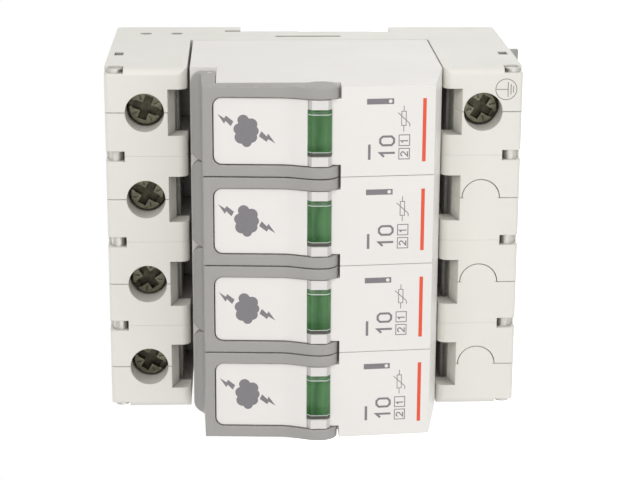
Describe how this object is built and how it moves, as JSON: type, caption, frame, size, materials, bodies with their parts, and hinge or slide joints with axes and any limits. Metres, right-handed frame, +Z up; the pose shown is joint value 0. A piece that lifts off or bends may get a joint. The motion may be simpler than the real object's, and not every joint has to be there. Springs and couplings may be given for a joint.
{
  "type": "din rail surge arrester",
  "caption": "Surge arrester for a mounting rail: a base with terminal screws and plug-in cartridges side by side, each with a lift handle and a status window.",
  "frame": {"origin": "on the rail seat, at the middle of the rail and of the row of poles", "axes": "+X along the rail to the right, +Y into the wall, +Z up on the wall; the front faces -Y"},
  "size_m": [0.0712, 0.0685, 0.0888],
  "materials": {
    "base_plastic": "fine moulded texture, warm white",
    "cartridge_plastic": "fine moulded texture, white",
    "handle_plastic": "fine moulded texture, mid grey",
    "latch_plastic": "moulded, grey",
    "screw_steel": "dark passivated steel",
    "cage_steel": "zinc plated steel",
    "brass_bar": "stamped brass",
    "spring_bronze": "stamped spring bronze",
    "rod_metal": "drawn rod",
    "clear_lens": "clear moulded plastic",
    "flag_green": "moulded, green and orange fields",
    "varistor_coat": "dipped epoxy"
  },
  "bodies": {
    "base": {"base_right_shell_1": "base_plastic", "base_left_shell_1": "base_plastic", "line_contact_1": "brass_bar", "base_right_shell_2": "base_plastic", "base_left_shell_2": "base_plastic", "line_contact_2": "brass_bar", "base_right_shell_3": "base_plastic", "base_left_shell_3": "base_plastic", "line_contact_3": "brass_bar", "base_right_shell_4": "base_plastic", "base_left_shell_4": "base_plastic", "line_contact_4": "brass_bar", "earth_bar": "brass_bar", "tie_rods": "rod_metal"},
    "cartridge_1": {"cartridge_case_1": "cartridge_plastic", "cartridge_cover_1": "cartridge_plastic", "window_lens_1": "clear_lens", "varistor_1": "varistor_coat", "contact_blades_1": "brass_bar", "disconnector_spring_1": "spring_bronze"},
    "handle_1": {"pull_handle_1": "handle_plastic"},
    "flag_1": {"status_flag_1": "flag_green"},
    "latch_1": {"rail_latch_1": "latch_plastic"},
    "cartridge_2": {"cartridge_case_2": "cartridge_plastic", "cartridge_cover_2": "cartridge_plastic", "window_lens_2": "clear_lens", "varistor_2": "varistor_coat", "contact_blades_2": "brass_bar", "disconnector_spring_2": "spring_bronze"},
    "handle_2": {"pull_handle_2": "handle_plastic"},
    "flag_2": {"status_flag_2": "flag_green"},
    "latch_2": {"rail_latch_2": "latch_plastic"},
    "cartridge_3": {"cartridge_case_3": "cartridge_plastic", "cartridge_cover_3": "cartridge_plastic", "window_lens_3": "clear_lens", "varistor_3": "varistor_coat", "contact_blades_3": "brass_bar", "disconnector_spring_3": "spring_bronze"},
    "handle_3": {"pull_handle_3": "handle_plastic"},
    "flag_3": {"status_flag_3": "flag_green"},
    "latch_3": {"rail_latch_3": "latch_plastic"},
    "cartridge_4": {"cartridge_case_4": "cartridge_plastic", "cartridge_cover_4": "cartridge_plastic", "window_lens_4": "clear_lens", "varistor_4": "varistor_coat", "contact_blades_4": "brass_bar", "disconnector_spring_4": "spring_bronze"},
    "handle_4": {"pull_handle_4": "handle_plastic"},
    "flag_4": {"status_flag_4": "flag_green"},
    "latch_4": {"rail_latch_4": "latch_plastic"},
    "screw_1": {"terminal_screw_1": "screw_steel"},
    "cage_1": {"clamp_cage_1": "cage_steel"},
    "screw_2": {"terminal_screw_2": "screw_steel"},
    "cage_2": {"clamp_cage_2": "cage_steel"},
    "screw_3": {"terminal_screw_3": "screw_steel"},
    "cage_3": {"clamp_cage_3": "cage_steel"},
    "screw_4": {"terminal_screw_4": "screw_steel"},
    "cage_4": {"clamp_cage_4": "cage_steel"},
    "earth_screw": {"earth_screw": "screw_steel"},
    "earth_cage": {"earth_cage": "cage_steel"}
  },
  "joints": [
    {"name": "cartridge_1_pull", "type": "slide", "parent": "base", "child": "cartridge_1", "axis": [0, -1, 0], "range_m": [0, 0.055]},
    {"name": "handle_1_lift", "type": "hinge", "parent": "cartridge_1", "child": "handle_1", "pos_m": [0.0267, -0.0458, 0.02075], "axis": [-1, 0, 0], "range_deg": [0, 70]},
    {"name": "flag_1_trip", "type": "slide", "parent": "cartridge_1", "child": "flag_1", "axis": [0, 0, 1], "range_m": [0, 0.0052]},
    {"name": "latch_1_slide", "type": "slide", "parent": "base", "child": "latch_1", "axis": [0, 0, -1], "range_m": [0, 0.0036], "stiffness_N_per_m": 400, "springref_m": -0.002},
    {"name": "cartridge_2_pull", "type": "slide", "parent": "base", "child": "cartridge_2", "axis": [0, -1, 0], "range_m": [0, 0.055]},
    {"name": "handle_2_lift", "type": "hinge", "parent": "cartridge_2", "child": "handle_2", "pos_m": [0.0089, -0.0458, 0.02075], "axis": [-1, 0, 0], "range_deg": [0, 70]},
    {"name": "flag_2_trip", "type": "slide", "parent": "cartridge_2", "child": "flag_2", "axis": [0, 0, 1], "range_m": [0, 0.0052]},
    {"name": "latch_2_slide", "type": "slide", "parent": "base", "child": "latch_2", "axis": [0, 0, -1], "range_m": [0, 0.0036], "stiffness_N_per_m": 400, "springref_m": -0.002},
    {"name": "cartridge_3_pull", "type": "slide", "parent": "base", "child": "cartridge_3", "axis": [0, -1, 0], "range_m": [0, 0.055]},
    {"name": "handle_3_lift", "type": "hinge", "parent": "cartridge_3", "child": "handle_3", "pos_m": [-0.0089, -0.0458, 0.02075], "axis": [-1, 0, 0], "range_deg": [0, 70]},
    {"name": "flag_3_trip", "type": "slide", "parent": "cartridge_3", "child": "flag_3", "axis": [0, 0, 1], "range_m": [0, 0.0052]},
    {"name": "latch_3_slide", "type": "slide", "parent": "base", "child": "latch_3", "axis": [0, 0, -1], "range_m": [0, 0.0036], "stiffness_N_per_m": 400, "springref_m": -0.002},
    {"name": "cartridge_4_pull", "type": "slide", "parent": "base", "child": "cartridge_4", "axis": [0, -1, 0], "range_m": [0, 0.055]},
    {"name": "handle_4_lift", "type": "hinge", "parent": "cartridge_4", "child": "handle_4", "pos_m": [-0.0267, -0.0458, 0.02075], "axis": [-1, 0, 0], "range_deg": [0, 70]},
    {"name": "flag_4_trip", "type": "slide", "parent": "cartridge_4", "child": "flag_4", "axis": [0, 0, 1], "range_m": [0, 0.0052]},
    {"name": "latch_4_slide", "type": "slide", "parent": "base", "child": "latch_4", "axis": [0, 0, -1], "range_m": [0, 0.0036], "stiffness_N_per_m": 400, "springref_m": -0.002},
    {"name": "line_1_screw_turn", "type": "hinge", "parent": "base", "child": "screw_1", "pos_m": [0.0267, 0, 0.0338], "axis": [0, 1, 0], "range_deg": [0, 1085]},
    {"name": "line_1_cage_rise", "type": "slide", "parent": "base", "child": "cage_1", "axis": [0, -1, 0], "range_m": [0, 0.0024]},
    {"name": "line_2_screw_turn", "type": "hinge", "parent": "base", "child": "screw_2", "pos_m": [0.0089, 0, 0.0338], "axis": [0, 1, 0], "range_deg": [0, 1085]},
    {"name": "line_2_cage_rise", "type": "slide", "parent": "base", "child": "cage_2", "axis": [0, -1, 0], "range_m": [0, 0.0024]},
    {"name": "line_3_screw_turn", "type": "hinge", "parent": "base", "child": "screw_3", "pos_m": [-0.0089, 0, 0.0338], "axis": [0, 1, 0], "range_deg": [0, 1085]},
    {"name": "line_3_cage_rise", "type": "slide", "parent": "base", "child": "cage_3", "axis": [0, -1, 0], "range_m": [0, 0.0024]},
    {"name": "line_4_screw_turn", "type": "hinge", "parent": "base", "child": "screw_4", "pos_m": [-0.0267, 0, 0.0338], "axis": [0, 1, 0], "range_deg": [0, 1085]},
    {"name": "line_4_cage_rise", "type": "slide", "parent": "base", "child": "cage_4", "axis": [0, -1, 0], "range_m": [0, 0.0024]},
    {"name": "earth_screw_turn", "type": "hinge", "parent": "base", "child": "earth_screw", "pos_m": [0.0267, 0, -0.0338], "axis": [0, 1, 0], "range_deg": [0, 1085]},
    {"name": "earth_cage_rise", "type": "slide", "parent": "base", "child": "earth_cage", "axis": [0, -1, 0], "range_m": [0, 0.0024]}
  ],
  "couplings": [
    {"joint": "line_1_screw_turn", "follows": "line_1_cage_rise", "rad_per_m": 7854},
    {"joint": "line_2_screw_turn", "follows": "line_2_cage_rise", "rad_per_m": 7854},
    {"joint": "line_3_screw_turn", "follows": "line_3_cage_rise", "rad_per_m": 7854},
    {"joint": "line_4_screw_turn", "follows": "line_4_cage_rise", "rad_per_m": 7854},
    {"joint": "earth_screw_turn", "follows": "earth_cage_rise", "rad_per_m": 7854}
  ]
}
